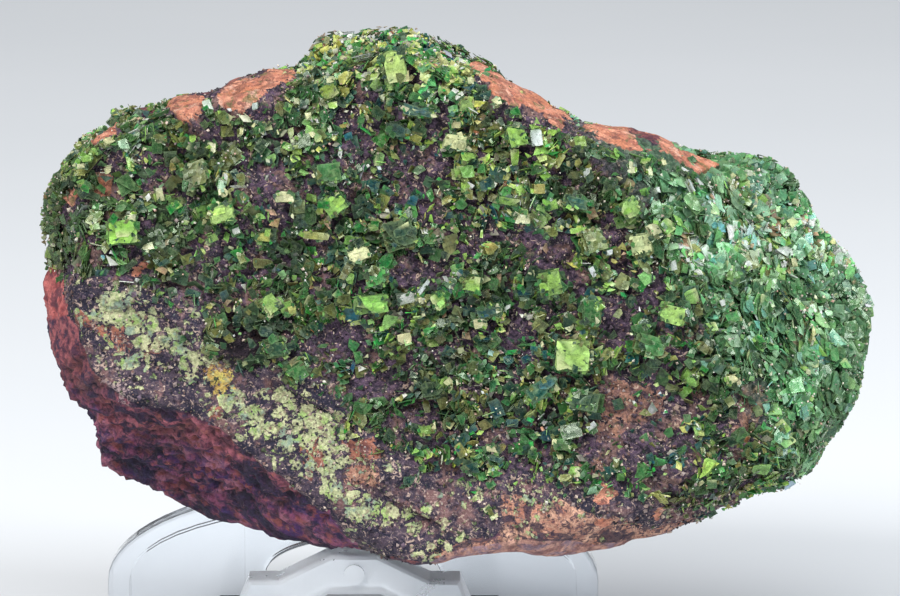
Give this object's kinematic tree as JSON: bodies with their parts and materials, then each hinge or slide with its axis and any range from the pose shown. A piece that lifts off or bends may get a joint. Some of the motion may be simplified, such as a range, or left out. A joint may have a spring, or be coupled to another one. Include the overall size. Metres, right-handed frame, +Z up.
{
  "type": "metatorbernite specimen",
  "caption": "Iron-stained rock fragment with a druse of green square metatorbernite plates over its front face, leaning back on a small clear moulded stand.",
  "frame": {"origin": "middle of the footprint box, on the floor the stand stands on", "axes": "+Z up; +X to the right along the stone's length, seen from the crystal face; -Y towards the viewer, out of the crystal face, which leans back 10 degrees"},
  "size_m": [0.0826, 0.0416, 0.0631],
  "materials": {
    "rock": "dull, red-brown and black iron-stained fracture faces, tan and orange patches, powdery pale green and yellow films",
    "druse": "glassy translucent green plates with pearly faces",
    "plate": "pearly lime green cleavage faces, finely striated, glassy edges",
    "clear_plastic": "clear polished moulding"
  },
  "bodies": {
    "root": {"rock_matrix": "rock", "metatorbernite_druse": "druse", "plate_01": "plate", "plate_02": "plate", "plate_03": "plate", "plate_04": "plate", "plate_05": "plate", "plate_06": "plate", "plate_07": "plate", "plate_08": "plate", "plate_09": "plate", "plate_10": "plate", "plate_11": "plate", "plate_12": "plate", "plate_13": "plate", "plate_14": "plate", "plate_15": "plate", "plate_16": "plate", "plate_17": "plate", "plate_18": "plate", "plate_19": "plate", "plate_20": "plate", "plate_21": "plate", "plate_22": "plate", "plate_23": "plate", "plate_24": "plate", "plate_25": "plate", "plate_26": "plate", "plate_27": "plate", "plate_28": "plate", "plate_29": "plate", "plate_30": "plate", "display_stand": "clear_plastic"}
  },
  "joints": []
}
